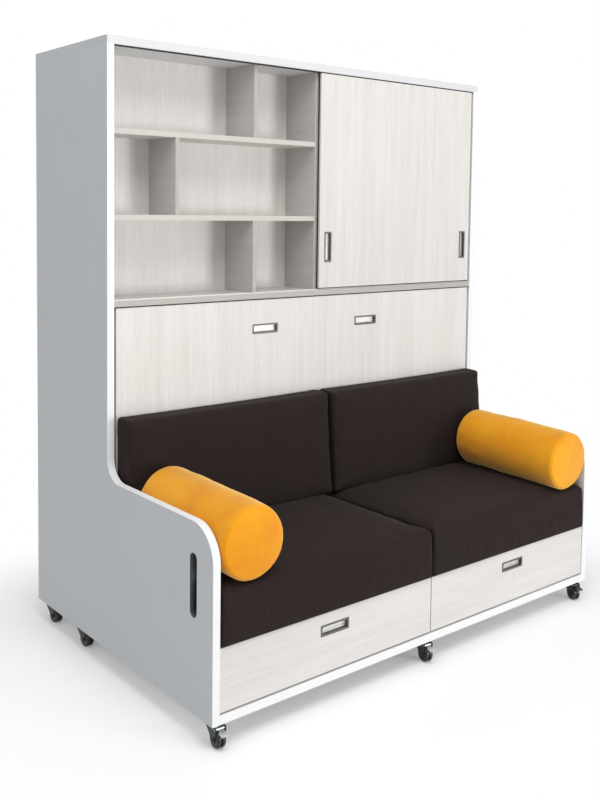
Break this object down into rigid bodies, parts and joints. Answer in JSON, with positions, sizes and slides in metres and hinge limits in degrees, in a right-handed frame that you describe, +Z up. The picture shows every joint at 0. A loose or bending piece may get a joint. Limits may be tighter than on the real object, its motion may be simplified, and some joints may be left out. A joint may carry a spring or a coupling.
{
  "type": "sofa to bunk bed",
  "caption": "Sofa with arms and drawers before a tall wheeled cabinet; a bunk tilts out above the seat, with open shelves and a sliding cupboard door over it.",
  "frame": {"origin": "on the floor, under the middle of the object's bounding box", "axes": "+X along the sofa, to the right as one faces it, -Y the way the sofa faces, +Z up"},
  "size_m": [2, 1.3116, 2.324],
  "materials": {
    "grey_board": "smooth blue-grey laminate, white edges",
    "white_board": "white laminate",
    "pale_board": "pale bleached ash laminate, fine grain",
    "inner_board": "white laminate",
    "slat_wood": "bare bent beech",
    "stop_block": "white painted block",
    "frame_steel": "grey powder coat",
    "bright_steel": "zinc plated",
    "nickel": "satin nickel",
    "track_metal": "anodised",
    "nylon": "natural nylon",
    "charcoal_fabric": "tight charcoal brown weave",
    "mustard_fabric": "tight mustard weave",
    "mattress_cover": "off-white cotton cover",
    "fork_metal": "dark grey",
    "wheel_rubber": "satin black",
    "pedal_zinc": "zinc plated"
  },
  "bodies": {
    "carcass": {"back_cushion_left": "charcoal_fabric", "back_cushion_right": "charcoal_fabric", "bolster_left": "mustard_fabric", "bolster_right": "mustard_fabric", "bottom_panel": "white_board", "bunk_pivot_brackets": "frame_steel", "bunk_stops": "stop_block", "caster_plates": "bright_steel", "centre_partition": "pale_board", "cupboard_shelves": "pale_board", "drawer_partition": "inner_board", "drawer_runners": "bright_steel", "lower_shelf": "pale_board", "rear_panel": "inner_board", "row_dividers": "pale_board", "seat_cushion_left": "charcoal_fabric", "seat_cushion_right": "charcoal_fabric", "seat_deck": "inner_board", "seat_rail": "inner_board", "shelf_back_panel": "pale_board", "shelf_board": "pale_board", "side_panel_left": "grey_board", "side_panel_right": "grey_board", "sliding_door_tracks": "track_metal", "top_panel": "white_board", "upper_shelf": "pale_board"},
    "bunk": {"bunk_panel": "pale_board", "bunk_frame": "frame_steel", "bunk_slats": "slat_wood", "bunk_mattress": "mattress_cover", "bunk_pulls": "nickel", "bunk_pivot_pins": "bright_steel"},
    "door": {"sliding_door": "pale_board", "sliding_door_pulls": "nickel", "sliding_door_glides": "nylon"},
    "drawer_left": {"drawer_front_left": "pale_board", "drawer_box_left": "inner_board", "drawer_pull_left": "nickel", "drawer_slides_left": "bright_steel"},
    "drawer_right": {"drawer_front_right": "pale_board", "drawer_box_right": "inner_board", "drawer_pull_right": "nickel", "drawer_slides_right": "bright_steel"},
    "caster_front_left": {"caster_fork_front_left": "fork_metal"},
    "wheel_front_left": {"caster_wheel_front_left": "wheel_rubber"},
    "pedal_front_left": {"caster_pedal_front_left": "pedal_zinc"},
    "caster_front_middle": {"caster_fork_front_middle": "fork_metal"},
    "wheel_front_middle": {"caster_wheel_front_middle": "wheel_rubber"},
    "pedal_front_middle": {"caster_pedal_front_middle": "pedal_zinc"},
    "caster_front_right": {"caster_fork_front_right": "fork_metal"},
    "wheel_front_right": {"caster_wheel_front_right": "wheel_rubber"},
    "pedal_front_right": {"caster_pedal_front_right": "pedal_zinc"},
    "caster_middle_left": {"caster_fork_middle_left": "fork_metal"},
    "wheel_middle_left": {"caster_wheel_middle_left": "wheel_rubber"},
    "caster_middle_right": {"caster_fork_middle_right": "fork_metal"},
    "wheel_middle_right": {"caster_wheel_middle_right": "wheel_rubber"},
    "caster_rear_left": {"caster_fork_rear_left": "fork_metal"},
    "wheel_rear_left": {"caster_wheel_rear_left": "wheel_rubber"},
    "caster_rear_right": {"caster_fork_rear_right": "fork_metal"},
    "wheel_rear_right": {"caster_wheel_rear_right": "wheel_rubber"}
  },
  "joints": [
    {"name": "bunk_tilt", "type": "hinge", "parent": "carcass", "child": "bunk", "pos_m": [0, 0.09227, 0.9925], "axis": [1, 0, 0], "range_deg": [0, 90]},
    {"name": "door_slide", "type": "slide", "parent": "carcass", "child": "door", "axis": [-1, 0, 0], "range_m": [0, 0.967]},
    {"name": "drawer_slide_left", "type": "slide", "parent": "carcass", "child": "drawer_left", "axis": [0, -1, 0], "range_m": [0, 0.43]},
    {"name": "drawer_slide_right", "type": "slide", "parent": "carcass", "child": "drawer_right", "axis": [0, -1, 0], "range_m": [0, 0.43]},
    {"name": "caster_swivel_front_left", "type": "hinge", "parent": "carcass", "child": "caster_front_left", "pos_m": [-0.96, -0.57923, 0.074], "axis": [0, 0, 1], "continuous": true},
    {"name": "wheel_roll_front_left", "type": "hinge", "parent": "caster_front_left", "child": "wheel_front_left", "pos_m": [-0.96218, -0.60414, 0.03], "axis": [0.9962, -0.0872, 0], "continuous": true},
    {"name": "pedal_press_front_left", "type": "hinge", "parent": "caster_front_left", "child": "pedal_front_left", "pos_m": [-0.96314, -0.6151, 0.066], "axis": [0.9962, -0.0872, 0], "range_deg": [0, 12]},
    {"name": "caster_swivel_front_middle", "type": "hinge", "parent": "carcass", "child": "caster_front_middle", "pos_m": [0, -0.57923, 0.074], "axis": [0, 0, 1], "continuous": true},
    {"name": "wheel_roll_front_middle", "type": "hinge", "parent": "caster_front_middle", "child": "wheel_front_middle", "pos_m": [-0.00434, -0.60385, 0.03], "axis": [0.9848, -0.1736, 0], "continuous": true},
    {"name": "pedal_press_front_middle", "type": "hinge", "parent": "caster_front_middle", "child": "pedal_front_middle", "pos_m": [-0.00625, -0.61469, 0.066], "axis": [0.9848, -0.1736, 0], "range_deg": [0, 12]},
    {"name": "caster_swivel_front_right", "type": "hinge", "parent": "carcass", "child": "caster_front_right", "pos_m": [0.96, -0.57923, 0.074], "axis": [0, 0, 1], "continuous": true},
    {"name": "wheel_roll_front_right", "type": "hinge", "parent": "caster_front_right", "child": "wheel_front_right", "pos_m": [0.95145, -0.60273, 0.03], "axis": [0.9397, -0.342, 0], "continuous": true},
    {"name": "pedal_press_front_right", "type": "hinge", "parent": "caster_front_right", "child": "pedal_front_right", "pos_m": [0.94769, -0.61306, 0.066], "axis": [0.9397, -0.342, 0], "range_deg": [0, 12]},
    {"name": "caster_swivel_middle_left", "type": "hinge", "parent": "carcass", "child": "caster_middle_left", "pos_m": [-0.96, 0.32577, 0.074], "axis": [0, 0, 1], "continuous": true},
    {"name": "wheel_roll_middle_left", "type": "hinge", "parent": "caster_middle_left", "child": "wheel_middle_left", "pos_m": [-0.95913, 0.30078, 0.03], "axis": [0.9994, 0.0349, 0], "continuous": true},
    {"name": "caster_swivel_middle_right", "type": "hinge", "parent": "carcass", "child": "caster_middle_right", "pos_m": [0.96, 0.32577, 0.074], "axis": [0, 0, 1], "continuous": true},
    {"name": "wheel_roll_middle_right", "type": "hinge", "parent": "caster_middle_right", "child": "wheel_middle_right", "pos_m": [0.95869, 0.3008, 0.03], "axis": [0.9986, -0.0523, 0], "continuous": true},
    {"name": "caster_swivel_rear_left", "type": "hinge", "parent": "carcass", "child": "caster_rear_left", "pos_m": [-0.96, 0.60277, 0.074], "axis": [0, 0, 1], "continuous": true},
    {"name": "wheel_roll_rear_left", "type": "hinge", "parent": "caster_rear_left", "child": "wheel_rear_left", "pos_m": [-0.95826, 0.57783, 0.03], "axis": [0.9976, 0.0698, 0], "continuous": true},
    {"name": "caster_swivel_rear_right", "type": "hinge", "parent": "carcass", "child": "caster_rear_right", "pos_m": [0.96, 0.60277, 0.074], "axis": [0, 0, 1], "continuous": true},
    {"name": "wheel_roll_rear_right", "type": "hinge", "parent": "caster_rear_right", "child": "wheel_rear_right", "pos_m": [0.96305, 0.57795, 0.03], "axis": [0.9925, 0.1219, 0], "continuous": true}
  ]
}
